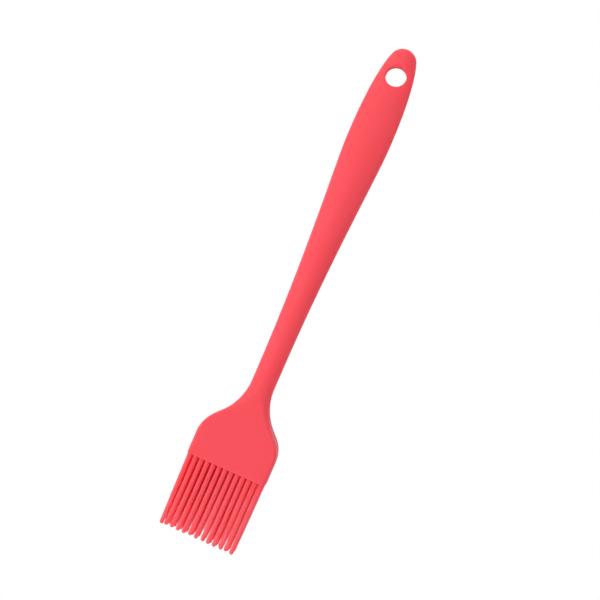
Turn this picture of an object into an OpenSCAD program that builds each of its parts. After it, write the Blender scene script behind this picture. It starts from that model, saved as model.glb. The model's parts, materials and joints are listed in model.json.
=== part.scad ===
// One-piece pastry brush: a silicone body moulded over a steel core, with rows of bristles.
//
// The brush lies on its back. +Y runs along the handle to the hanging end, +X runs across the
// head, and +Z points up through the thickness. The origin is under the middle of the whole
// brush, on the surface that it lies on. A distance along the body is counted from the mouth,
// the flat end face that the bristles leave.

/* [Overall] */
// Length of the body, from the mouth to the hanging end
body_l = 222.5; // [205:0.5:245]
// Length of a bristle outside the mouth
bristle_l = 37.5; // [28:0.5:46]

/* [Head] */
// Width of the head
head_w = 41.4; // [38:0.2:50]
// Thickness of the head
head_t = 13.2; // [12:0.2:15.2]
// Length of the head's straight sides
head_side_l = 11.4; // [8:0.2:16]
// Radius of the head's long edges
head_edge_r = 1.5; // [1.4:0.1:3.5]
// Radius of the rim round the mouth
mouth_rim_r = 0.3; // [0.1:0.05:0.4]
// Radius of the shoulders, where the sides turn in
shoulder_r = 16.2; // [13:0.2:18]
// Angle that the shoulders turn through
shoulder_angle = 44.5; // [38:0.5:50]

/* [Neck] */
// Width of the neck
neck_w = 12; // [10:0.2:15]
// Thickness of the neck
neck_t = 9.6; // [8:0.2:11.5]
// Radius of the curve that runs from the shoulders into the neck
neck_fillet_r = 28.2; // [20:0.2:33]
// Where the neck ends and the grip begins, from the mouth
neck_end = 52.5; // [50:0.5:62]

/* [Grip] */
// Width of the grip at its widest
grip_w = 21.7; // [18:0.1:26]
// Thickness of the grip at its thickest
grip_t = 12; // [10.5:0.25:14]
// Where the grip is widest, from the hanging end
grip_peak = 46.5; // [42:0.5:56]
// Where the grip is thickest, from the hanging end
grip_belly = 78; // [70:1:90]
// How far the grip keeps the neck's direction before it widens
grip_lead_in = 63; // [40:1:70]
// How far the grip keeps straight before its widest place
grip_lead_out = 19; // [8:0.5:26]
// How far the grip keeps straight after its widest place
grip_lead_on = 26; // [20:0.5:29]

/* [Hanging end] */
// Thickness round the hanging hole
end_t = 8; // [7:0.25:10]
// Radius of the hanging hole
hole_r = 5.15; // [3:0.05:5.4]
// Centre of the hanging hole, from the hanging end
hole_from_end = 14.5; // [13:0.1:18]
// Length beside the hanging hole, on the grip's side, that keeps the end's thickness
hole_land = 3; // [1:0.5:6]
// Radius of the nose
nose_r = 6.9; // [6:0.1:7.9]
// Angle that the nose turns through on each side
nose_angle = 68.5; // [58:0.5:76]
// Length of the straight run into the nose
nose_lead = 4.7; // [3:0.1:7]

/* [Bristles] */
// Bristles in a row
columns = 13; // [9:1:14]
// Rows of bristles
rows = 4; // [2:1:4]
// Diameter of a bristle at its root
root_d = 2.2; // [1.6:0.05:2.4]
// Diameter of a bristle at its tip
tip_d = 1.7; // [0.9:0.05:1.9]
// Silicone beside the outermost bristles, at the head's sides
side_land = 0.5; // [0.45:0.05:1.5]
// Silicone above and below the outermost bristles, at the head's faces
face_land = 0.6; // [0.6:0.05:1.2]
// Angle that the bristles bend to, each way
flex_angle = 30; // [10:1:32]
// Gap round a bristle's root, which turns in its seat
seat_gap = 0.05; // [0.03:0.01:0.08]

/* [Steel core] */
// Thickness of the core's strip
core_t = 1.5; // [1:0.1:2]
// Width of the core in the handle
core_w = 7; // [5:0.25:8]
// Width of the core in the head
core_head_w = 30; // [20:0.5:33]
// Length of the core's wide part
core_head_l = 7; // [6:0.5:9]
// Length of the taper from the wide part to the strip
core_fan_l = 12; // [9:0.5:15]
// Silicone between the core and the mouth
core_setback = 5; // [3:0.25:7]
// Silicone between the core and the hanging hole
core_hole_gap = 9; // [6:0.5:14]
// Radius of the core's corners
core_corner_r = 2; // [1:0.25:3]
// Diameter of the holes that the silicone flows through
bond_d = 3; // [2:0.25:3.5]
// Spacing of those holes along the strip
bond_pitch = 30; // [22:1:40]
// Spacing of those holes across the head
bond_head_pitch = 10; // [7:0.5:12]

/* [Hidden] */
$fn = 48;

RING_STEPS = 9;    // facets on each corner of a section
ARC_STEPS = 8;     // sections on each arc of the outline
CURVE_STEPS = 13;  // sections on each free curve of the outline
RIM_STEPS = 3;     // sections on the rim round the mouth
OVERCUT = 1;       // how far a cut runs past the surface
WAIST_RUN = 0.1;   // length over which a bristle's waist opens into its shaft

red = "#f35a61";
steel = "#b9bcc0";

total_l = body_l + bristle_l;
mouth_y = bristle_l - total_l / 2;
mid_z = max(head_t, grip_t) / 2;
hole_y = mouth_y + body_l - hole_from_end;

// Bristles spread over the mouth, so their spacing follows the head.
column_pitch = (head_w - 2 * side_land - root_d) / (columns - 1);
row_pitch = (head_t - 2 * face_land - root_d) / (rows - 1);
function column_x(column) = (column - (columns + 1) / 2) * column_pitch;
function row_z(row) = mid_z + ((rows + 1) / 2 - row) * row_pitch;

// Row 1 is the top one, and a row counts from -X to +X.
function two_digits(n) = n < 10 ? str("0", n) : str(n);
function bristle_name(row, column) = str("bristle_", row, "_", two_digits(column));
BRISTLES = [for (row = [1 : rows], column = [1 : columns]) bristle_name(row, column)];

// ---- Curves ----

function ease(u) = u * u * (3 - 2 * u);
function steps(count) = [for (i = [1 : count]) i / count];
function bezier(p, u) =
    pow(1 - u, 3) * p[0] + 3 * pow(1 - u, 2) * u * p[1] + 3 * (1 - u) * u * u * p[2] + pow(u, 3) * p[3];

// Each outline point is a distance along the body and the half-width there.

// The side turns in round the shoulder.
shoulder = [for (u = concat([0], steps(ARC_STEPS))) let (a = u * shoulder_angle)
    [head_side_l + shoulder_r * sin(a), head_w / 2 - shoulder_r * (1 - cos(a))]];

// A straight flank joins it to the neck's curve, so where that curve ends follows from both.
shoulder_end = shoulder[len(shoulder) - 1];
fillet_start_w = neck_w / 2 + neck_fillet_r * (1 - cos(shoulder_angle));
neck_start = shoulder_end[0] + (shoulder_end[1] - fillet_start_w) / tan(shoulder_angle)
    + neck_fillet_r * sin(shoulder_angle);
neck_fillet = [for (u = concat([0], steps(ARC_STEPS))) let (a = (1 - u) * shoulder_angle)
    [neck_start - neck_fillet_r * sin(a), neck_w / 2 + neck_fillet_r * (1 - cos(a))]];

// The grip swells from the neck to its widest place.
peak_d = body_l - grip_peak;
grip_start = [neck_end, neck_w / 2];
grip_widest = [peak_d, grip_w / 2];
grip_curve = [grip_start, grip_start + [grip_lead_in, 0], grip_widest - [grip_lead_out, 0], grip_widest];
grip = [for (u = concat([0], steps(CURVE_STEPS))) bezier(grip_curve, u)];

// It then narrows into the round nose.
nose_start = [body_l - nose_r * (1 - cos(nose_angle)), nose_r * sin(nose_angle)];
into_nose = nose_start - nose_lead * [sin(nose_angle), -cos(nose_angle)];
tail_curve = [grip_widest, grip_widest + [grip_lead_on, 0], into_nose, nose_start];
tail = [for (u = steps(CURVE_STEPS)) bezier(tail_curve, u)];
nose = [for (u = steps(ARC_STEPS)) let (a = (1 - u) * nose_angle)
    [body_l - nose_r * (1 - cos(a)), nose_r * sin(a)]];

rim = [for (u = concat([0], steps(RIM_STEPS))) [mouth_rim_r * (1 - cos(90 * u)), head_w / 2]];
outline = concat(rim, shoulder, neck_fillet, grip, tail, nose);

// ---- Sections ----

// Stations along the body: distance, thickness, and how wide and how high the round-over of
// the long edges is. An edge as wide and as high as the section makes an ellipse of it.
belly_d = body_l - grip_belly;
land_d = body_l - hole_from_end - hole_r - hole_land;
stations = [
    [0, head_t, head_edge_r, head_edge_r],
    [head_side_l, head_t, head_edge_r, head_edge_r],
    [neck_start, neck_t, neck_w / 2, neck_t / 2],
    [neck_end, neck_t, neck_w / 2, neck_t / 2],
    [belly_d, grip_t, grip_w / 2, grip_t / 2],
    [land_d, end_t, grip_w / 2, end_t / 2],
    [body_l, end_t, grip_w / 2, end_t / 2],
];
function station_before(d) = max([for (i = [0 : len(stations) - 2]) if (stations[i][0] <= d) i]);
function station_value(d, what) =
    let (a = stations[station_before(d)], b = stations[station_before(d) + 1])
    a[what] + (b[what] - a[what]) * ease((d - a[0]) / (b[0] - a[0]));

// The rim round the mouth, and the nose seen from the side, are quarter rounds.
function rim_inset(d) = d < mouth_rim_r ? mouth_rim_r - sqrt(d * (2 * mouth_rim_r - d)) : 0;
nose_from = body_l - end_t / 2;
function half_thickness(d) = d > nose_from
    ? sqrt(max(0, pow(end_t / 2, 2) - pow(d - nose_from, 2)))
    : station_value(d, 1) / 2;

// A section is a box with elliptical corners, counted from +X towards +Z.
function corner(x, z, rx, rz, from) = [for (i = [0 : RING_STEPS]) let (a = from + 90 * i / RING_STEPS)
    [x + rx * cos(a), z + rz * sin(a)]];
function section(w, h, rx, rz) = concat(
    corner(w - rx, h - rz, rx, rz, 0), corner(rx - w, h - rz, rx, rz, 90),
    corner(rx - w, rz - h, rx, rz, 180), corner(w - rx, rz - h, rx, rz, 270));
function section_at(point) =
    let (d = point[0], inset = rim_inset(d), w = point[1] - inset, h = half_thickness(d) - inset)
    [for (p = section(w, h, min(station_value(d, 2), w * 0.98), min(station_value(d, 3), h * 0.98)))
        [p[0], mouth_y + d, mid_z + p[1]]];

module loft(points_in_rings) {
    rings = len(points_in_rings);
    per = len(points_in_rings[0]);
    side = [for (r = [0 : rings - 2], i = [0 : per - 1]) let (a = r * per, b = a + per, n = (i + 1) % per)
        each [[a + i, a + n, b + i], [a + n, b + n, b + i]]];
    ends = [[for (i = [0 : per - 1]) per - 1 - i], [for (i = [0 : per - 1]) (rings - 1) * per + i]];
    polyhedron([for (ring = points_in_rings) each ring], concat(side, ends), convexity = 4);
}

// ---- Pieces ----

module silicone_body() {
    color(red) difference() {
        loft([for (point = outline) section_at(point)]);
        translate([0, hole_y, mid_z]) cylinder(h = head_t + 2 * OVERCUT, r = hole_r, center = true);
        steel_core();
        for (row = [1 : rows], column = [1 : columns])
            translate([column_x(column), mouth_y, row_z(row)]) sphere(r = root_d / 2 + seat_gap);
    }
}

// The core is one strip, wide in the head and narrow in the handle, with holes that lock it in.
core_y = mouth_y + core_setback;
strip_end_y = hole_y - hole_r - core_hole_gap;
fan_end_y = core_y + core_head_l + core_fan_l;
module core_outline() {
    offset(r = core_corner_r) offset(delta = -core_corner_r) polygon([
        [-core_head_w / 2, core_y], [core_head_w / 2, core_y],
        [core_head_w / 2, core_y + core_head_l], [core_w / 2, fan_end_y],
        [core_w / 2, strip_end_y], [-core_w / 2, strip_end_y],
        [-core_w / 2, fan_end_y], [-core_head_w / 2, core_y + core_head_l]]);
}
module bond_hole(x, y) {
    translate([x, y, mid_z]) cylinder(h = core_t + 2 * OVERCUT, d = bond_d, center = true);
}
module steel_core() {
    color(steel) difference() {
        translate([0, 0, mid_z - core_t / 2]) linear_extrude(core_t) core_outline();
        for (i = [-1 : 1]) bond_hole(i * bond_head_pitch, core_y + core_head_l / 2);
        for (y = [fan_end_y : bond_pitch : strip_end_y - core_w]) bond_hole(0, y);
    }
}

// A bristle turns about its root, a ball in a seat. The ball runs into a short waist, which
// clears the seat's rim at the bend's limit, and the shaft then tapers to a round tip.
ball_r = root_d / 2;
tip_r = tip_d / 2;
shaft_foot = [ball_r, ball_r * tan(flex_angle) + WAIST_RUN];
module bristle_profile() {
    ball = [for (u = concat([0], steps(ARC_STEPS))) let (a = -90 + u * (90 + flex_angle))
        ball_r * [cos(a), sin(a)]];
    tip = [for (u = concat([0], steps(ARC_STEPS))) let (a = 90 * u)
        [0, bristle_l - tip_r] + tip_r * [cos(a), sin(a)]];
    polygon(concat(ball, [shaft_foot], tip));
}
module bristle(row, column) {
    color(red) translate([column_x(column), mouth_y, row_z(row)]) rotate([90, 0, 0])
        rotate_extrude() bristle_profile();
}

silicone_body();
steel_core();
for (row = [1 : rows], column = [1 : columns])
    bristle(row, column);
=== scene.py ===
"""A one-piece pastry brush in red silicone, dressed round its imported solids.

The brush lies flat: +Y runs along the handle to the hanging end, +X across the head and +Z up
through the thickness. A distance along the body is counted from the mouth, the flat end face
that the bristles leave. Lengths are in metres.
"""

import json
import math

import bmesh
import bpy
import numpy as np
from bpy.props import FloatProperty, FloatVectorProperty, IntProperty, PointerProperty
from mathutils import Matrix, Vector

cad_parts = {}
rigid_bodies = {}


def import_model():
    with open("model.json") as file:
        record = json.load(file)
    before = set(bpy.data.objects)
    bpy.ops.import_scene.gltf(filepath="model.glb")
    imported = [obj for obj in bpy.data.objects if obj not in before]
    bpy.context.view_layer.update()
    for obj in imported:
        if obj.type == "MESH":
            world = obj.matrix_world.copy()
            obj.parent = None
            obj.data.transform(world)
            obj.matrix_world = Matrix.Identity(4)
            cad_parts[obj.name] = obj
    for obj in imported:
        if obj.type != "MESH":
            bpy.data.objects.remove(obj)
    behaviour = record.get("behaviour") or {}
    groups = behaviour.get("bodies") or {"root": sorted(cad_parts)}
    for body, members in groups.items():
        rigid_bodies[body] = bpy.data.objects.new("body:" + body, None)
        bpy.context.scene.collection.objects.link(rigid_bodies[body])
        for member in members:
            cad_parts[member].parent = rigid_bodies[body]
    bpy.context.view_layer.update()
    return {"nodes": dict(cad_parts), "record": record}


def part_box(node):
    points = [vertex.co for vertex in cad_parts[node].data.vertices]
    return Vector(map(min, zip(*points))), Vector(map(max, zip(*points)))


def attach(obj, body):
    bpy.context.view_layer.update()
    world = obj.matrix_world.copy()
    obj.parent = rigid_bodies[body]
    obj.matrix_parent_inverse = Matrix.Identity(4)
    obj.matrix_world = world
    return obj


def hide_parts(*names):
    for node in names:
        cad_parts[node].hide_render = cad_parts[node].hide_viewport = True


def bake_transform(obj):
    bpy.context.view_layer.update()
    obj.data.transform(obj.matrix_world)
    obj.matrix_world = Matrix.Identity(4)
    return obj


bl_info = {
    "name": "Pastry Brush",
    "version": (1, 0, 0),
    "blender": (4, 5, 0),
    "location": "View3D > Sidebar > Brush",
    "description": "Moulded silicone body, bristles, steel core and studio for a pastry brush",
    "category": "Add Mesh",
}

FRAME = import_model()

MM = 0.001
TINY = 1e-9
MOULDING = "silicone_body"
CORE = "steel_core"
CARRIER = "brush_body"
SILICONE = "moulded_silicone"

LOW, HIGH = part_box(MOULDING)
MOUTH_Y = LOW.y
BODY_LENGTH = HIGH.y - LOW.y
MIDDLE_Z = (LOW.z + HIGH.z) / 2

BODIES = FRAME["record"]["behaviour"]["bodies"]
ROWS = {body: nodes for body, nodes in BODIES.items() if body != CARRIER}
TIPS_Y = min(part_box(node)[0].y for nodes in ROWS.values() for node in nodes)

# Points along the body's outline
ARC_POINTS = 40
CURVE_POINTS = 80
NOSE_POINTS = 60

# Points in the rings round the body. A ring starts on the +X side and goes over the top. A rounded
# edge gets the points of a flat EDGE_DENSITY times as long as its width and height together.
QUARTER_POINTS = 32
RING = 4 * QUARTER_POINTS
TOP = QUARTER_POINTS
BOTTOM = 3 * QUARTER_POINTS
EDGE_DENSITY = 2.4

# How close the rings are: steps on the mouth's rim, distance on the body, and steps on the nose
MOUTH_STEPS = 6
ROW_STEP = 0.9 * MM
NOSE_STEPS = 19

# The hanging hole: rings at a closer step on each side of its centre. On each face a block of
# cells there opens into a circle, and the cells round it move too, out to a reach in blocks.
# Each further block adds SPREAD to the circle's radius.
HOLE_STEP = 0.5 * MM
HOLE_ROWS = 20
BLOCK_ROWS = 9
BLOCK_COLUMNS = 8
REACH = 2.2
SPREAD = 2.2 * MM

# Steps round each of the hole's rims and down its wall, and the step that gives a face's slope
RIM_STEPS = 6
WALL_STEPS = 4
SLOPE_STEP = 0.05 * MM

# The mesh of one bristle: the share of its rings that are on the shaft, how much closer they are
# at the root, and the turn of the round tip, which stops just short of its middle
SIDES = 18
SEGMENTS = 28
SHAFT_SHARE = 0.72
ROOT_CROWDING = 1.5
TIP_TURN = 0.97 * math.pi / 2

# Seeds are this far apart from one row to the next, and for a bristle's kinds of difference
ROW_SEEDS = 47
SEED_STEP = 50

# Lines in each metre of the brushed steel: across, along and through it
STEEL_LINES = (4000, 60, 4000)

# The floor, and its painted colour by how open it is, from the deepest of the brush's shadow outwards: a
# painted shadow, red in its deepest part where it stands in for light bounced off the red silicone
FLOOR_SIZE = 6
FLOOR_DROP = 0.2 * MM
SHADOW_REACH = 60 * MM
SHADOW = (
    (0.04, (1.0, 0.07, 0.09)),
    (0.16, (1.0, 0.25, 0.27)),
    (0.22, (1.0, 1.0, 1.0)),
)

# Strength of the world's light from the left and from the right
SKY_LEFT = 1.25
SKY_RIGHT = 0.46

# Name, width in metres, power in watts and place of each lamp
LAMPS = (
    ("key", 1.6, 2.2, (-0.9, -0.1, 1.1)),
    ("foot", 1.2, 4.6, (-0.2, -1.3, 0.5)),
    ("head", 1.2, 2.6, (-0.2, 1.2, 0.7)),
)

# Bounces of light, enough for the deep gaps between the bristles
BOUNCES = 24


def number(name, text, value):
    return FloatProperty(name=name, description=text, default=value)


def length(name, text, value):
    return FloatProperty(name=name, description=text, default=value, subtype="DISTANCE", precision=5)


def angle(name, text, degrees):
    return FloatProperty(name=name, description=text, default=math.radians(degrees), subtype="ANGLE")


def share(name, text, value):
    return FloatProperty(name=name, description=text, default=value, subtype="FACTOR", min=0, max=1)


def colour(name, text, rgb):
    """A colour in the linear values that shaders take."""
    return FloatVectorProperty(name=name, description=text, default=rgb, subtype="COLOR", min=0, max=1)


# ---- Settings ----


class BRUSH_PG_body(bpy.types.PropertyGroup):
    """Sizes of the moulded body"""

    head_width: length("Head width", "Width of the head", HIGH.x - LOW.x)
    head_thickness: length("Head thickness", "Thickness of the head", HIGH.z - LOW.z)
    head_side: length("Straight sides", "Length of the head's straight sides", 11.4 * MM)
    head_edge: length("Head edges", "Radius of the head's long edges", 1.5 * MM)
    mouth_rim: length("Mouth rim", "Radius of the rim round the mouth", 0.2 * MM)
    shoulder_radius: length("Shoulder radius", "Radius of the shoulders", 16.2 * MM)
    shoulder_angle: angle("Shoulder angle", "Angle that the shoulders turn through", 44.5)
    neck_width: length("Neck width", "Width of the neck", 12 * MM)
    neck_thickness: length("Neck thickness", "Thickness of the neck", 9.6 * MM)
    neck_fillet: length("Neck fillet", "Radius from the shoulders into the neck", 28.2 * MM)
    neck_end: length("Neck end", "Where the grip begins, from the mouth", 52.5 * MM)
    grip_width: length("Grip width", "Width of the grip at its widest", 21.7 * MM)
    grip_thickness: length("Grip thickness", "Thickness of the grip at its thickest", 12 * MM)
    grip_peak: length("Widest place", "Where the grip is widest, from the hanging end", 46.5 * MM)
    grip_belly: length("Thickest place", "Where the grip is thickest, from the hanging end", 78 * MM)
    grip_lead_in: length("Lead-in", "How far the grip keeps the neck's direction", 63 * MM)
    grip_lead_out: length("Lead-out", "Straight length before the widest place", 19 * MM)
    grip_lead_on: length("Lead-on", "Straight length after the widest place", 26 * MM)
    end_thickness: length("End thickness", "Thickness round the hanging hole", 8 * MM)
    hole_radius: length("Hole radius", "Radius of the hanging hole", 5.15 * MM)
    hole_from_end: length("Hole place", "Centre of the hanging hole, from the hanging end", 14.5 * MM)
    hole_land: length("Hole land", "Length before the hole that keeps the end's thickness", 3 * MM)
    hole_rim: length("Hole rim", "Radius of the hanging hole's rims", 0.45 * MM)
    nose_radius: length("Nose radius", "Radius of the nose", 6.9 * MM)
    nose_angle: angle("Nose angle", "Angle that the nose turns through on each side", 68.5)
    nose_lead: length("Nose lead", "Length of the straight run into the nose", 4.7 * MM)


class BRUSH_PG_bristles(bpy.types.PropertyGroup):
    """Sizes of the bristles"""

    root_radius: length("Root radius", "Radius of a bristle at its root", 1.14 * MM)
    tip_radius: length("Tip radius", "Radius of a bristle's round tip", 1.04 * MM)
    flare: length("Root flare", "How much a bristle swells at the mouth", 0.18 * MM)
    flare_reach: length("Flare reach", "Distance in which the swelling falls to a third", 4 * MM)
    sink: length("Sink", "How far a root reaches into the body", 0.12 * MM)
    lean: length("Lean", "Furthest that a tip strays from its place", 0.5 * MM)
    comb: length("Comb", "How far all the tips are combed to one side", -0.12 * MM)
    shortening: share("Shortening", "Furthest that a bristle falls short of full length", 0.012)
    seed: IntProperty(name="Seed", description="Seed of the bristles' small differences", default=21978)


class BRUSH_PG_finish(bpy.types.PropertyGroup):
    """Colours and finishes"""

    silicone: colour("Silicone", "Colour of the silicone", (0.99, 0.079, 0.108))
    deep_silicone: colour("Silicone, deep", "Colour of its slight clouding", (0.98, 0.073, 0.1))
    # The next three settings paint light into the silicone's colour: a painted glow, paler towards the
    # bristles' tips and palest in the gaps between them, that stands in for light passing through the
    # bristles and bouncing between them.
    painted_glow_colour: colour("Silicone, thin", "Colour that the bristles pale towards", (1.0, 0.22, 0.25))
    painted_glow_amount: number("Paling", "How much the tips pale, where 1 pales the gaps alone", 1.3)
    gap: length("Gap", "How near a neighbour has to be to make a gap that pales", 4 * MM)
    cloud: length("Cloud", "Size of the silicone's slight clouding", 16.6667 * MM)
    silicone_roughness: share("Silicone roughness", "Roughness of the moulded skin", 0.5)
    grain: length("Grain", "Size of the mould's fine grain", 0.35 * MM)
    grain_depth: length("Grain depth", "Depth of the mould's grain and of the steel's lines", 0.02 * MM)
    scatter: length("Scatter", "How far light spreads in the silicone", 2 * MM)
    scatter_shares: colour("Scatter shares", "Share of it that each colour spreads", (1.0, 0.2, 0.15))
    steel: colour("Steel", "Colour of the core's steel", (0.56, 0.57, 0.58))
    steel_roughness: share("Steel roughness", "Roughness of the core's steel", 0.38)


class BRUSH_PG_stage(bpy.types.PropertyGroup):
    """Studio and camera"""

    focal_length: number("Focal length", "Focal length of the lens in millimetres", 66)
    height: length("Height", "Height of the camera over the point that it looks at", 535.6 * MM)
    aim: FloatVectorProperty(name="Aim", description="Point of the brush at the middle of the view",
                             default=(0.19 * MM, -2.35 * MM, 8 * MM), subtype="XYZ", unit="LENGTH")
    ray: FloatVectorProperty(name="Ray", description="Direction that the camera looks in",
                             default=(-0.08, -0.035, -1), subtype="DIRECTION")
    tilt: angle("Tilt", "Turn of the view that leans the handle over", 23.46)
    backdrop: colour("Backdrop", "Colour of the floor", (0.85, 0.85, 0.85))


# ---- Form of the body ----


def bezier(points, count):
    """Count points after the first one, along a cubic curve."""
    a, b, c, d = (np.array(p) for p in points)
    u = (np.arange(1, count + 1) / count)[:, None]
    return (1 - u) ** 3 * a + 3 * (1 - u) ** 2 * u * b + 3 * (1 - u) * u**2 * c + u**3 * d


def arc(centre, radius, start, end, count):
    """Count points after the first one, round an arc whose angles are counted from +distance."""
    turns = np.linspace(start, end, count + 1)[1:, None]
    return np.array(centre) + radius * np.hstack([np.cos(turns), np.sin(turns)])


def ease(u):
    """0 to 1, leaving and arriving gently."""
    return u * u * (3 - 2 * u)


def outline(sizes):
    """Distances along the body and the half-widths there, and the distance where the neck starts."""
    half = sizes.head_width / 2
    neck = sizes.neck_width / 2
    turn = sizes.shoulder_angle
    right = math.pi / 2
    sides = [[0, half], [sizes.head_side, half]]
    shoulder_centre = (sizes.head_side, half - sizes.shoulder_radius)
    shoulder = arc(shoulder_centre, sizes.shoulder_radius, right, right - turn, ARC_POINTS)
    flank_start, flank_width = shoulder[-1]
    flank = flank_width - neck - sizes.neck_fillet * (1 - math.cos(turn))
    neck_start = flank_start + flank / math.tan(turn) + sizes.neck_fillet * math.sin(turn)
    fillet_centre = (neck_start, neck + sizes.neck_fillet)
    fillet = arc(fillet_centre, sizes.neck_fillet, -right - turn, -right, ARC_POINTS)

    grip_start = np.array([sizes.neck_end, neck])
    widest = np.array([BODY_LENGTH - sizes.grip_peak, sizes.grip_width / 2])
    lead_in = grip_start + [sizes.grip_lead_in, 0]
    lead_out = widest - [sizes.grip_lead_out, 0]
    grip = bezier([grip_start, lead_in, lead_out, widest], CURVE_POINTS)

    nose_centre = np.array([BODY_LENGTH - sizes.nose_radius, 0])
    cos, sin = math.cos(sizes.nose_angle), math.sin(sizes.nose_angle)
    nose_start = nose_centre + sizes.nose_radius * np.array([cos, sin])
    lead_on = widest + [sizes.grip_lead_on, 0]
    into_nose = nose_start - sizes.nose_lead * np.array([sin, -cos])
    tail = bezier([widest, lead_on, into_nose, nose_start], CURVE_POINTS)
    nose = arc(nose_centre, sizes.nose_radius, sizes.nose_angle, 0, NOSE_POINTS)
    return np.vstack([sides, shoulder, fillet, grip_start, grip, tail, nose]), neck_start


class Form:
    """The body's surface: half-width, half-thickness and edges at any distance from the mouth."""

    SHOULDERS = 1

    def __init__(self, sizes):
        self.line, neck_start = outline(sizes)
        self.rim = sizes.mouth_rim
        self.end = sizes.end_thickness / 2
        self.hole_d = BODY_LENGTH - sizes.hole_from_end
        head = (sizes.head_thickness, sizes.head_edge, sizes.head_edge)
        neck = (sizes.neck_thickness, sizes.neck_width / 2, sizes.neck_thickness / 2)
        grip = (sizes.grip_thickness, sizes.grip_width / 2, sizes.grip_thickness / 2)
        end = (sizes.end_thickness, sizes.grip_width / 2, self.end)
        # Distance, thickness, and the width and height of the rounded long edges
        self.stations = np.array([
            [0, *head],
            [sizes.head_side, *head],
            [neck_start, *neck],
            [sizes.neck_end, *neck],
            [BODY_LENGTH - sizes.grip_belly, *grip],
            [self.hole_d - sizes.hole_radius - sizes.hole_land, *end],
            [BODY_LENGTH, *end],
        ])

    def section(self, d):
        """Half-width, half-thickness, and the width and height of the rounded long edges."""
        rows = self.stations
        k = np.clip(np.searchsorted(rows[:, 0], d, side="right") - 1, 0, len(rows) - 2)
        u = ease(np.clip((d - rows[k, 0]) / (rows[k + 1, 0] - rows[k, 0]), 0, 1))
        # On the shoulders the edges widen late, so the face stays flat nearly out to the outline
        late = np.where(k == self.SHOULDERS, u**2, u)
        value = rows[k] + (rows[k + 1] - rows[k]) * np.stack([u, u, late, late], axis=-1)
        inset = np.where(d < self.rim, self.rim - np.sqrt(np.clip(d * (2 * self.rim - d), 0, None)), 0)
        past = np.clip(d - (BODY_LENGTH - self.end), 0, self.end)
        nose = np.sqrt(np.clip(self.end**2 - past**2, 0, None))
        w = np.interp(d, self.line[:, 0], self.line[:, 1]) - inset
        h = np.where(past > 0, nose, value[..., 1] / 2) - inset
        return w, h, np.minimum(value[..., 2], w), np.minimum(value[..., 3], h)

    def height(self, x, d):
        """Height of the upper face over the middle plane, at a place across and along the body."""
        w, h, edge_w, edge_h = self.section(d)
        into = np.clip((np.abs(x) - (w - edge_w)) / np.maximum(edge_w, TINY), 0, 1)
        return h - edge_h + edge_h * np.sqrt(1 - into**2)


def quarter(w, h, edge_w, edge_h):
    """A quarter of a section, from its side to the middle of its top, closer together on the edge."""
    wall = h - edge_h
    flat = w - edge_w
    edge = EDGE_DENSITY * (edge_w + edge_h)
    run = np.linspace(0, wall + edge + flat, QUARTER_POINTS + 1)
    turn = np.clip((run - wall) / max(edge, TINY), 0, 1) * math.pi / 2
    z = np.minimum(run, wall) + edge_h * np.sin(turn)
    x = flat + edge_w * np.cos(turn) - np.clip(run - wall - edge, 0, None)
    return x, z


def row_distances(sizes):
    """Where the body's rings lie, close at the rim, the hole and the nose, and the hole's own ring."""
    rim = sizes.mouth_rim * (1 - np.cos(np.linspace(0, math.pi / 2, MOUTH_STEPS + 1)))
    hole = BODY_LENGTH - sizes.hole_from_end + HOLE_STEP * np.arange(-HOLE_ROWS, HOLE_ROWS + 1)
    steps = round((hole[0] - rim[-1]) / ROW_STEP)
    body = np.linspace(rim[-1], hole[0], steps + 1)[1:-1]
    turns = np.linspace(0, math.pi / 2, NOSE_STEPS + 1)[1:-1]
    nose = BODY_LENGTH - (BODY_LENGTH - hole[-1]) * (1 - np.sin(turns))
    return np.concatenate([rim, body, hole, nose]), len(rim) + len(body) + HOLE_ROWS


def rings(form, distances):
    """Places across and up of the points in the ring at each distance."""
    xs = np.zeros((len(distances), RING))
    zs = np.zeros((len(distances), RING))
    for i, d in enumerate(distances):
        x, z = quarter(*(float(v) for v in form.section(np.array(d))))
        xs[i] = np.concatenate([x[:-1], [0], -x[-2::-1], -x[1:-1], [0], x[-2:0:-1]])
        zs[i] = np.concatenate([z, z[-2::-1], -z[1:], -z[-2:0:-1]])
    return xs, zs


def round_hole(across, along, row, column, sizes):
    """The places of one face's points round the hanging hole, and how many blocks from it they are."""
    a = column / BLOCK_COLUMNS
    b = row / BLOCK_ROWS
    reach = np.maximum(np.abs(a), np.abs(b))
    side = np.abs(a) >= np.abs(b)
    slope = np.where(side, b / np.where(a == 0, 1, a), a / np.where(b == 0, 1, b)) * math.pi / 4
    sign = np.sign(np.where(side, a, b))
    cos = np.cos(slope) * sign
    sin = np.sin(slope) * sign
    radius = sizes.hole_radius + sizes.hole_rim + (np.maximum(reach, 1) - 1) * SPREAD
    round_x = np.where(side, cos, sin) * radius
    round_y = np.where(side, sin, cos) * radius
    t = ease(np.clip((reach - 1) / (REACH - 1), 0, 1))
    return (1 - t) * round_x + t * across, (1 - t) * round_y + t * along, reach


def open_hole(xs, ds, zs, form, hole_row, sizes):
    """Moves the points of both faces round the hanging hole, and gives each one's reach from it."""
    rows = np.arange(len(xs))[:, None] - hole_row
    reach = np.full(xs.shape, np.inf)
    for centre, up in ((TOP, 1), (BOTTOM, -1)):
        columns = np.arange(centre - QUARTER_POINTS + 1, centre + QUARTER_POINTS)
        from_centre = up * (centre - columns)[None, :]
        along = ds[:, columns] - form.hole_d
        x, y, away = round_hole(xs[:, columns], along, rows, from_centre, sizes)
        near = away < REACH
        x = np.where(near, x, xs[:, columns])
        d = np.where(near, y + form.hole_d, ds[:, columns])
        zs[:, columns] = np.where(near, up * form.height(x, d), zs[:, columns])
        xs[:, columns] = x
        ds[:, columns] = d
        reach[:, columns] = away
    return reach


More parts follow.
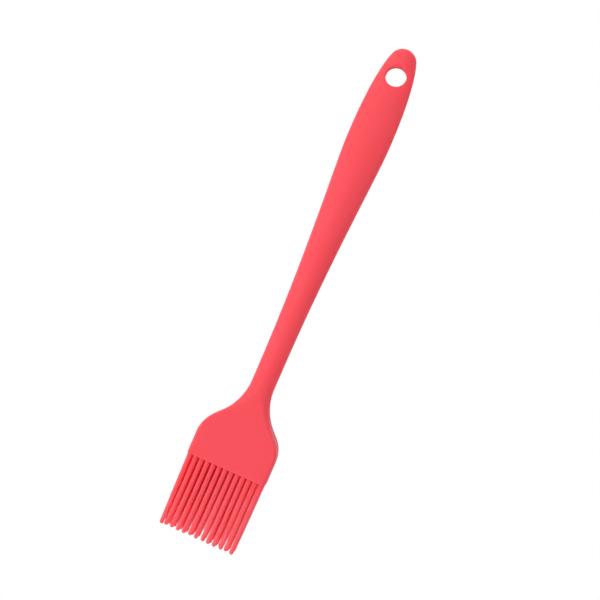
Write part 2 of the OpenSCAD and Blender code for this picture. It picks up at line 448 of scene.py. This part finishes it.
def skin(mesh, xs, ds, zs, reach):
    """The body's points and faces outside the two blocks of the hanging hole, as a grid of points."""
    grid = [[None] * RING for _ in xs]
    for i, j in zip(*np.nonzero(reach >= 1 - TINY)):
        grid[i][j] = mesh.verts.new((xs[i, j], MOUTH_Y + ds[i, j], MIDDLE_Z + zs[i, j]))
    for i in range(len(grid) - 1):
        for j in range(RING):
            k = (j + 1) % RING
            corners = [grid[i][j], grid[i + 1][j], grid[i + 1][k], grid[i][k]]
            in_block = reach[i:i + 2, [j, k]].max() <= 1 + TINY
            if None not in corners and not in_block:
                mesh.faces.new(corners)
    return grid


def body_mesh(sizes):
    """The moulded body as one closed skin of quads, with its hanging hole."""
    form = Form(sizes)
    distances, hole_row = row_distances(sizes)
    xs, zs = rings(form, distances)
    ds = np.repeat(distances[:, None], RING, axis=1)
    reach = open_hole(xs, ds, zs, form, hole_row, sizes)
    mesh = bmesh.new()
    grid = skin(mesh, xs, ds, zs, reach)
    close_mouth(mesh, grid[0], sizes.mouth_rim)
    close_nose(mesh, grid[-1])
    loops = [hole_loop(grid, hole_row, centre) for centre in (TOP, BOTTOM)]
    bore(mesh, loops, form, sizes)
    bmesh.ops.recalc_face_normals(mesh, faces=mesh.faces)
    return mesh


def close_mouth(mesh, ring, rim):
    """The flat end face, with a ring of its own just inside the rim."""
    middle = Vector((0, MOUTH_Y, MIDDLE_Z))
    inner = []
    for v in ring:
        inward = middle - v.co
        inner.append(mesh.verts.new(v.co + inward * (rim / inward.length)))
    for i in range(len(ring)):
        j = (i + 1) % len(ring)
        mesh.faces.new([ring[i], ring[j], inner[j], inner[i]])
    mesh.faces.new(inner)


def close_nose(mesh, ring):
    """The last faces of the hanging end, which meet in one point."""
    pole = mesh.verts.new((0, MOUTH_Y + BODY_LENGTH, MIDDLE_Z))
    for i in range(len(ring)):
        mesh.faces.new([ring[i], pole, ring[(i + 1) % len(ring)]])


def hole_loop(grid, hole_row, centre):
    """The points of one face round the hanging hole, anticlockwise seen from above."""
    r = BLOCK_ROWS
    c = BLOCK_COLUMNS if centre == TOP else -BLOCK_COLUMNS
    corners = [(-r, -c), (r, -c), (r, c), (-r, c)]
    loop = []
    for (r0, c0), (r1, c1) in zip(corners, corners[1:] + corners[:1]):
        steps = max(abs(r1 - r0), abs(c1 - c0))
        for k in range(steps):
            row = r0 + (r1 - r0) * k // steps
            column = c0 + (c1 - c0) * k // steps
            loop.append(grid[hole_row + row][centre + column])
    return loop


def bore(mesh, loops, form, sizes):
    """Rounded rims on both faces, and the wall of the hanging hole between them."""
    top, bottom = loops
    upper = [rim_ring(mesh, top, k / RIM_STEPS, 1, form, sizes) for k in range(1, RIM_STEPS + 1)]
    lower = [rim_ring(mesh, bottom, k / RIM_STEPS, -1, form, sizes) for k in range(RIM_STEPS, 0, -1)]
    wall = [[mesh.verts.new(a.co.lerp(b.co, k / WALL_STEPS)) for a, b in zip(upper[-1], lower[0])]
            for k in range(1, WALL_STEPS)]
    steps = [top, *upper, *wall, *lower, bottom]
    for outer, inner in zip(steps, steps[1:]):
        for i in range(len(outer)):
            j = (i + 1) % len(outer)
            mesh.faces.new([outer[i], outer[j], inner[j], inner[i]])


def rim_ring(mesh, loop, u, up, form, sizes):
    """A ring of the hole's rim, a round that leaves the crowned face smoothly and ends on the wall."""
    ring = []
    for v in loop:
        x, y = v.co.x, v.co.y - MOUTH_Y - form.hole_d
        away = math.hypot(x, y)
        x, y = x / away, y / away
        near, far = (float(form.height(r * x, form.hole_d + r * y))
                     for r in (away - SLOPE_STEP, away + SLOPE_STEP))
        rise = math.atan2(near - far, 2 * SLOPE_STEP)
        radius = (away - sizes.hole_radius) / (1 + math.sin(rise))
        turn = u * (math.pi / 2 + rise) - rise
        out = sizes.hole_radius + radius * (1 - math.sin(turn))
        drop = radius * (math.cos(rise) - math.cos(turn))
        ring.append(mesh.verts.new((out * x, MOUTH_Y + form.hole_d + out * y, v.co.z - up * drop)))
    return ring


def new_piece(name, mesh, material):
    """An object at the origin that holds a mesh and has one smooth-shaded material."""
    data = bpy.data.meshes.new(name)
    mesh.to_mesh(data)
    mesh.free()
    data.shade_smooth()
    data.materials.append(material)
    piece = bpy.data.objects.new(name, data)
    bpy.context.scene.collection.objects.link(piece)
    return piece


# ---- Nodes ----


class Nodes:
    """A short way to add and join the nodes of a tree."""

    def __init__(self, tree):
        self.nodes = tree.nodes
        self.links = tree.links

    def join(self, socket, value):
        """Gives an input a value, or the output of another node."""
        if isinstance(value, bpy.types.NodeSocket):
            self.links.new(value, socket)
        else:
            socket.default_value = value

    def add(self, kind, inputs=(), **settings):
        """A new node with its settings and inputs."""
        made = self.nodes.new(kind)
        for key, value in settings.items():
            setattr(made, key, value)
        for key, value in dict(inputs).items():
            self.join(made.inputs[key], value)
        return made

    def math(self, operation, *values, **settings):
        """The result of an operation on numbers or on other nodes' outputs."""
        made = self.add("ShaderNodeMath", dict(enumerate(values)), operation=operation, **settings)
        return made.outputs[0]

    def span(self, value, start, end, low=0, high=1):
        """From low to high as a value goes from start to end."""
        ends = {"From Min": start, "From Max": end, "To Min": low, "To Max": high}
        return self.add("ShaderNodeMapRange", {"Value": value, **ends}).outputs[0]

    def parts(self, vector):
        """The X, Y and Z of a vector."""
        return self.add("ShaderNodeSeparateXYZ", {0: vector}).outputs

    def vector(self, **parts):
        """A vector from its X, Y and Z, where a part that isn't given is 0."""
        return self.add("ShaderNodeCombineXYZ", parts).outputs[0]


class Shader(Nodes):
    """A material and its nodes."""

    def __init__(self, name):
        self.material = bpy.data.materials.new(name)
        self.material.use_nodes = True
        super().__init__(self.material.node_tree)
        self.surface = self.nodes["Principled BSDF"]

    def set(self, **values):
        """Gives the surface's sockets, named with _ for a space, their values."""
        for key, value in values.items():
            self.join(self.surface.inputs[key.replace("_", " ")], value)

    def place(self):
        """Object coordinates."""
        return self.add("ShaderNodeTexCoord").outputs["Object"]

    def noise(self, place, scale, detail):
        inputs = {"Vector": place, "Scale": scale, "Detail": detail}
        return self.add("ShaderNodeTexNoise", inputs).outputs["Fac"]

    def mix(self, factor, a, b):
        """A colour that goes from a to b with the factor."""
        inputs = {"Factor": factor, "A": a, "B": b}
        return self.add("ShaderNodeMix", inputs, data_type="RGBA").outputs["Result"]

    def openness(self, distance, samples):
        """1 in the open, and less where something stands within a distance."""
        made = self.add("ShaderNodeAmbientOcclusion", {"Distance": distance}, samples=samples)
        return made.outputs["AO"]

    def bump(self, height, strength, depth):
        inputs = {"Height": height, "Strength": strength, "Distance": depth}
        return self.add("ShaderNodeBump", inputs).outputs["Normal"]


class Tree(Nodes):
    """A Geometry Nodes tree with named inputs."""

    def __init__(self, name, inputs):
        self.group = bpy.data.node_groups.new(name, "GeometryNodeTree")
        super().__init__(self.group)
        sockets = self.group.interface
        sockets.new_socket("Geometry", in_out="OUTPUT", socket_type="NodeSocketGeometry")
        self.given = self.nodes.new("NodeGroupInput").outputs
        self.ids = {}
        for title, kind in inputs.items():
            made = sockets.new_socket(title, in_out="INPUT", socket_type="NodeSocket" + kind)
            self.ids[title] = made.identifier

    def shape(self, kind, **inputs):
        """A node that makes or changes geometry, its inputs named with _ for a space."""
        made = self.add("GeometryNode" + kind, {key.replace("_", " "): v for key, v in inputs.items()})
        return made.outputs[0]

    def position(self):
        """The X, Y and Z of each point."""
        return self.parts(self.add("GeometryNodeInputPosition").outputs[0])

    def random(self, low, high, seed):
        """A number for each point, the same in every run."""
        inputs = {2: low, 3: high, "Seed": seed}
        return self.add("FunctionNodeRandomValue", inputs, data_type="FLOAT").outputs[1]

    def store(self, geometry, name, kind, value):
        """Keeps a value with each point, under a name."""
        inputs = {"Geometry": geometry, "Name": name, "Value": value}
        return self.add("GeometryNodeStoreNamedAttribute", inputs, data_type=kind).outputs[0]

    def stored(self, name, kind):
        """The value that each point keeps under a name."""
        return self.add("GeometryNodeInputNamedAttribute", {"Name": name}, data_type=kind).outputs[0]

    def end(self, geometry):
        self.join(self.nodes.new("NodeGroupOutput").inputs["Geometry"], geometry)


# ---- Materials ----


def silicone(finish):
    """Moulded silicone: matte and finely grained, with painted light that makes it paler towards the
    tips, most of all in the gaps, for light that passes through the bristles and bounces between them.
    """
    shader = Shader(SILICONE)
    place = shader.place()
    cloud = shader.noise(place, 1 / finish.cloud, detail=3)
    moulded = shader.mix(cloud, (*finish.silicone, 1), (*finish.deep_silicone, 1))
    along = shader.span(shader.parts(place)["Y"], MOUTH_Y, TIPS_Y)
    # Painted glow: the colour pales with distance along the bristles, and more where neighbours stand
    # close, as light passing through and bouncing between the bristles would light them.
    openness = shader.openness(finish.gap, samples=8)
    depth = shader.math("SUBTRACT", finish.painted_glow_amount, openness)
    painted_glow = shader.math("MULTIPLY", along, depth, use_clamp=True)
    skin_colour = shader.mix(painted_glow, moulded, (*finish.painted_glow_colour, 1))
    grain = shader.noise(place, 1 / finish.grain, detail=2)
    shader.set(
        Base_Color=skin_colour, Roughness=finish.silicone_roughness,
        Normal=shader.bump(grain, strength=0.12, depth=finish.grain_depth),
        Specular_IOR_Level=0.35, Sheen_Weight=0.05, Sheen_Roughness=0.5,
        Subsurface_Weight=1.0, Subsurface_Radius=finish.scatter_shares, Subsurface_Scale=finish.scatter,
    )
    return shader.material


def steel(finish):
    """Rolled strip steel, brushed along its length."""
    shader = Shader("rolled_steel")
    stretch = shader.add("ShaderNodeMapping", {"Vector": shader.place(), "Scale": STEEL_LINES})
    lines = shader.noise(stretch.outputs["Vector"], 1, detail=2)
    shader.set(
        Base_Color=(*finish.steel, 1), Metallic=1.0, Roughness=finish.steel_roughness,
        Normal=shader.bump(lines, strength=0.2, depth=finish.grain_depth),
    )
    return shader.material


# ---- Bristles ----


BRISTLE_INPUTS = {
    "Count": "Int",
    "First Root": "Vector",
    "Spacing": "Vector",
    "Length": "Float",
    "Root Radius": "Float",
    "Tip Radius": "Float",
    "Root Flare": "Float",
    "Flare Reach": "Float",
    "Lean": "Float",
    "Comb": "Float",
    "Shortening": "Float",
    "Seed": "Int",
    "Material": "Material",
}


def pattern_bristle(tree):
    """A cylinder whose rings are moved along the shaft and round the tip."""
    root, tip = tree.given["Root Radius"], tree.given["Tip Radius"]
    rod = tree.shape("MeshCylinder", Vertices=SIDES, Side_Segments=SEGMENTS, Radius=1, Depth=1)
    place = tree.position()
    up = tree.math("ADD", place["Z"], 0.5)
    along = tree.math("POWER", tree.span(up, 0, SHAFT_SHARE), ROOT_CROWDING)
    over = tree.math("MULTIPLY", tree.span(up, SHAFT_SHARE, 1), TIP_TURN)
    shaft = tree.math("MULTIPLY", along, tree.math("SUBTRACT", tree.given["Length"], tip))
    reach = tree.math("ADD", shaft, tree.math("MULTIPLY", tip, tree.math("SINE", over)))
    taper = tree.math("ADD", root, tree.math("MULTIPLY", along, tree.math("SUBTRACT", tip, root)))
    away = tree.math("DIVIDE", shaft, tree.given["Flare Reach"])
    fade = tree.math("EXPONENT", tree.math("MULTIPLY", away, -1))
    full = tree.math("ADD", taper, tree.math("MULTIPLY", tree.given["Root Flare"], fade))
    radius = tree.math("MULTIPLY", full, tree.math("COSINE", over))
    moved = tree.vector(X=tree.math("MULTIPLY", place["X"], radius), Y=tree.math("MULTIPLY", reach, -1),
                        Z=tree.math("MULTIPLY", place["Y"], radius))
    return tree.shape("SetPosition", Geometry=rod, Position=moved)


def roots(tree):
    """Points in line, each of which keeps how its bristle leans and how short it is."""
    seed, lean = tree.given["Seed"], tree.given["Lean"]
    line = tree.shape("MeshLine", Count=tree.given["Count"], Start_Location=tree.given["First Root"],
                      Offset=tree.given["Spacing"])
    other_way = tree.math("MULTIPLY", lean, -1)
    across = tree.math("ADD", tree.given["Comb"], tree.random(other_way, lean, seed))
    through = tree.random(other_way, lean, tree.math("ADD", seed, SEED_STEP))
    short = tree.random(0.0, tree.given["Shortening"], tree.math("ADD", seed, 2 * SEED_STEP))
    drifted = tree.store(line, "drift", "FLOAT_VECTOR", tree.vector(X=across, Z=through))
    return tree.store(drifted, "short", "FLOAT", short)


def leant(tree, bristles):
    """The bristles, each leaning along a curve that leaves the mouth square."""
    root_y = tree.parts(tree.given["First Root"])["Y"]
    out = tree.math("SUBTRACT", root_y, tree.position()["Y"])
    share_out = tree.math("DIVIDE", tree.math("MAXIMUM", out, 0.0), tree.given["Length"])
    bow = tree.math("POWER", share_out, 2.0)
    drift = {0: tree.stored("drift", "FLOAT_VECTOR"), "Scale": bow}
    side = tree.add("ShaderNodeVectorMath", drift, operation="SCALE").outputs[0]
    back = tree.vector(Y=tree.math("MULTIPLY", out, tree.stored("short", "FLOAT")))
    offset = tree.add("ShaderNodeVectorMath", {0: side, 1: back}, operation="ADD").outputs[0]
    return tree.shape("SetPosition", Geometry=bristles, Offset=offset)


def bristle_tree():
    """One row of bristles: points in line, and a tapered bristle on each with its own lean and length."""
    tree = Tree("bristle_row", BRISTLE_INPUTS)
    stood = tree.shape("InstanceOnPoints", Points=roots(tree), Instance=pattern_bristle(tree))
    row = leant(tree, tree.shape("RealizeInstances", Geometry=stood))
    smooth = tree.shape("SetShadeSmooth", Geometry=row)
    tree.end(tree.shape("SetMaterial", Geometry=smooth, Material=tree.given["Material"]))
    return tree


def evaluated_mesh(holder, name):
    """The holder's evaluated geometry as a plain object of its own."""
    depsgraph = bpy.context.evaluated_depsgraph_get()
    data = bpy.data.meshes.new_from_object(holder.evaluated_get(depsgraph), depsgraph=depsgraph)
    data.name = name
    piece = bpy.data.objects.new(name, data)
    bpy.context.scene.collection.objects.link(piece)
    bpy.data.objects.remove(holder)
    return piece


def bristle_row(name, nodes, tree, sizes, material, seed):
    """The bristles that stand for a row of solids, as one mesh."""
    boxes = [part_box(node) for node in nodes]
    places = [(low + high) / 2 for low, high in boxes]
    tip_y = min(low.y for low, high in boxes)
    start = Vector((places[0].x, MOUTH_Y + sizes.sink, places[0].z))
    holder = bpy.data.objects.new(name + "_maker", bpy.data.meshes.new(name + "_maker"))
    bpy.context.scene.collection.objects.link(holder)
    maker = holder.modifiers.new("row", "NODES")
    maker.node_group = tree.group
    values = {
        "Count": len(nodes),
        "First Root": start,
        "Spacing": Vector((places[1].x - places[0].x, 0, 0)),
        "Length": start.y - tip_y,
        "Root Radius": sizes.root_radius,
        "Tip Radius": sizes.tip_radius,
        "Root Flare": sizes.flare,
        "Flare Reach": sizes.flare_reach,
        "Lean": sizes.lean,
        "Comb": sizes.comb,
        "Shortening": sizes.shortening,
        "Seed": seed,
        "Material": material,
    }
    for title, value in values.items():
        maker[tree.ids[title]] = value
    return evaluated_mesh(holder, name)


# ---- Studio ----


def floor(settings):
    """A pale floor that shows as clean white, with a painted soft shadow near the brush, red in its
    deepest part where it stands in for light bounced off the silicone.
    """
    mesh = bmesh.new()
    bmesh.ops.create_grid(mesh, x_segments=1, y_segments=1, size=FLOOR_SIZE)
    bmesh.ops.translate(mesh, verts=mesh.verts, vec=(0, 0, -FLOOR_DROP))
    shader = Shader("floor")
    shader.set(Base_Color=(*settings.backdrop, 1), Roughness=0.9, Specular_IOR_Level=0.0)
    ray = shader.add("ShaderNodeLightPath").outputs
    seen = shader.math("MAXIMUM", ray["Is Camera Ray"], ray["Is Glossy Ray"])
    seen = shader.math("MAXIMUM", seen, ray["Is Transmission Ray"])
    # Painted shadow: how open the floor is sets its colour for the camera and its strength in
    # reflections, from red deep in the brush's shade to white in the open.
    openness = shader.openness(SHADOW_REACH, samples=16)
    painted_shadow = shader.add("ShaderNodeValToRGB", {"Fac": openness})
    stops = painted_shadow.color_ramp.elements
    stops.remove(stops[1])
    for place, rgb in SHADOW:
        stops.new(place).color = (*rgb, 1)
    stops.remove(stops[0])
    strength = shader.math("MAXIMUM", ray["Is Camera Ray"], openness)
    glow = shader.add("ShaderNodeEmission", {"Color": painted_shadow.outputs["Color"], "Strength": strength})
    ways = {0: seen, 1: shader.surface.outputs[0], 2: glow.outputs[0]}
    mix = shader.add("ShaderNodeMixShader", ways)
    shader.join(shader.nodes["Material Output"].inputs["Surface"], mix.outputs[0])
    piece = new_piece("floor", mesh, shader.material)


def sky():
    """A world that lights more from the left than from the right, and shows as plain white."""
    world = bpy.data.worlds.new("studio")
    bpy.context.scene.world = world
    world.use_nodes = True
    tree = Nodes(world.node_tree)
    background = tree.nodes["Background"].inputs
    way = tree.add("ShaderNodeTexCoord").outputs["Generated"]
    light = tree.span(tree.parts(way)["X"], -1, 1, SKY_LEFT, SKY_RIGHT)
    seen = tree.add("ShaderNodeLightPath").outputs["Is Camera Ray"]
    strength = tree.add("ShaderNodeMix", {"Factor": seen, "A": light, "B": 1}, data_type="FLOAT")
    tree.join(background["Color"], (1, 1, 1, 1))
    tree.join(background["Strength"], strength.outputs["Result"])


def lamps():
    """Large soft lamps round the brush."""
    for name, size, power, place in LAMPS:
        light = bpy.data.lights.new(name, "AREA")
        light.shape = "SQUARE"
        light.size = size
        light.energy = power
        lamp = bpy.data.objects.new(name, light)
        lamp.matrix_world = look(place, (0, 0, 0), (0, 0, 1))
        bpy.context.scene.collection.objects.link(lamp)


def look(place, target, up):
    """A matrix at a place that faces a target, with its top towards up."""
    back = (Vector(place) - Vector(target)).normalized()
    side = Vector(up).cross(back).normalized()
    turn = Matrix((side, back.cross(side), back)).transposed()
    return Matrix.Translation(Vector(place)) @ turn.to_4x4()


def camera(settings):
    """The camera over the brush, turned so that the handle leans over."""
    lens = bpy.data.cameras.new("camera")
    lens.lens = settings.focal_length
    eye = bpy.data.objects.new("camera", lens)
    aim, ray = Vector(settings.aim), Vector(settings.ray)
    up = Vector((-math.sin(settings.tilt), math.cos(settings.tilt), 0))
    eye.matrix_world = look(aim - ray * (settings.height / abs(ray.z)), aim, up)
    bpy.context.scene.collection.objects.link(eye)
    bpy.context.scene.camera = eye


# ---- Operators ----


def shared_silicone(scene):
    """The silicone, made once for the body and the bristles."""
    return bpy.data.materials.get(SILICONE) or silicone(scene.brush_finish)


class BRUSH_OT_body(bpy.types.Operator):
    """Make the moulded silicone body round its solid"""

    bl_idname = "brush.body"
    bl_label = "Silicone Body"

    def execute(self, context):
        scene = context.scene
        piece = new_piece("moulded_body", body_mesh(scene.brush_body), shared_silicone(scene))
        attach(piece, CARRIER)
        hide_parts(MOULDING)
        return {"FINISHED"}


class BRUSH_OT_bristles(bpy.types.Operator):
    """Make the rows of bristles, one mesh for each row of solids"""

    bl_idname = "brush.bristles"
    bl_label = "Bristles"

    def execute(self, context):
        sizes = context.scene.brush_bristles
        material = shared_silicone(context.scene)
        tree = bristle_tree()
        for k, (body, nodes) in enumerate(ROWS.items()):
            seed = sizes.seed + ROW_SEEDS * k
            piece = bristle_row(f"moulded_{body}", nodes, tree, sizes, material, seed)
            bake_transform(piece)
            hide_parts(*nodes)
        return {"FINISHED"}


class BRUSH_OT_core(bpy.types.Operator):
    """Give the steel core its finish"""

    bl_idname = "brush.core"
    bl_label = "Steel Core"

    def execute(self, context):
        data = FRAME["nodes"][CORE].data
        data.materials.clear()
        data.materials.append(steel(context.scene.brush_finish))
        return {"FINISHED"}


class BRUSH_OT_stage(bpy.types.Operator):
    """Make the floor, the light and the camera"""

    bl_idname = "brush.stage"
    bl_label = "Studio"

    def execute(self, context):
        scene = context.scene
        floor(scene.brush_stage)
        sky()
        lamps()
        camera(scene.brush_stage)
        scene.view_settings.view_transform = "Standard"
        scene.cycles.max_bounces = BOUNCES
        scene.cycles.diffuse_bounces = BOUNCES
        return {"FINISHED"}


class BRUSH_PT_panel(bpy.types.Panel):
    """Buttons and sizes for the pastry brush"""

    bl_idname = "BRUSH_PT_panel"
    bl_label = "Pastry Brush"
    bl_space_type = "VIEW_3D"
    bl_region_type = "UI"
    bl_category = "Brush"

    def draw(self, context):
        for operator in OPERATORS:
            self.layout.operator(operator.bl_idname)
        for name, group in GROUPS.items():
            box = self.layout.box()
            for setting in group.__annotations__:
                box.prop(getattr(context.scene, name), setting)


GROUPS = {
    "brush_body": BRUSH_PG_body,
    "brush_bristles": BRUSH_PG_bristles,
    "brush_finish": BRUSH_PG_finish,
    "brush_stage": BRUSH_PG_stage,
}
OPERATORS = (BRUSH_OT_body, BRUSH_OT_bristles, BRUSH_OT_core, BRUSH_OT_stage)
CLASSES = (*GROUPS.values(), *OPERATORS, BRUSH_PT_panel)


def register():
    for made in CLASSES:
        bpy.utils.register_class(made)
    for name, group in GROUPS.items():
        setattr(bpy.types.Scene, name, PointerProperty(type=group))


def unregister():
    for name in GROUPS:
        delattr(bpy.types.Scene, name)
    for made in reversed(CLASSES):
        bpy.utils.unregister_class(made)


def main():
    register()
    bpy.ops.brush.body()
    bpy.ops.brush.bristles()
    bpy.ops.brush.core()
    bpy.ops.brush.stage()


if __name__ == "__main__":
    main()
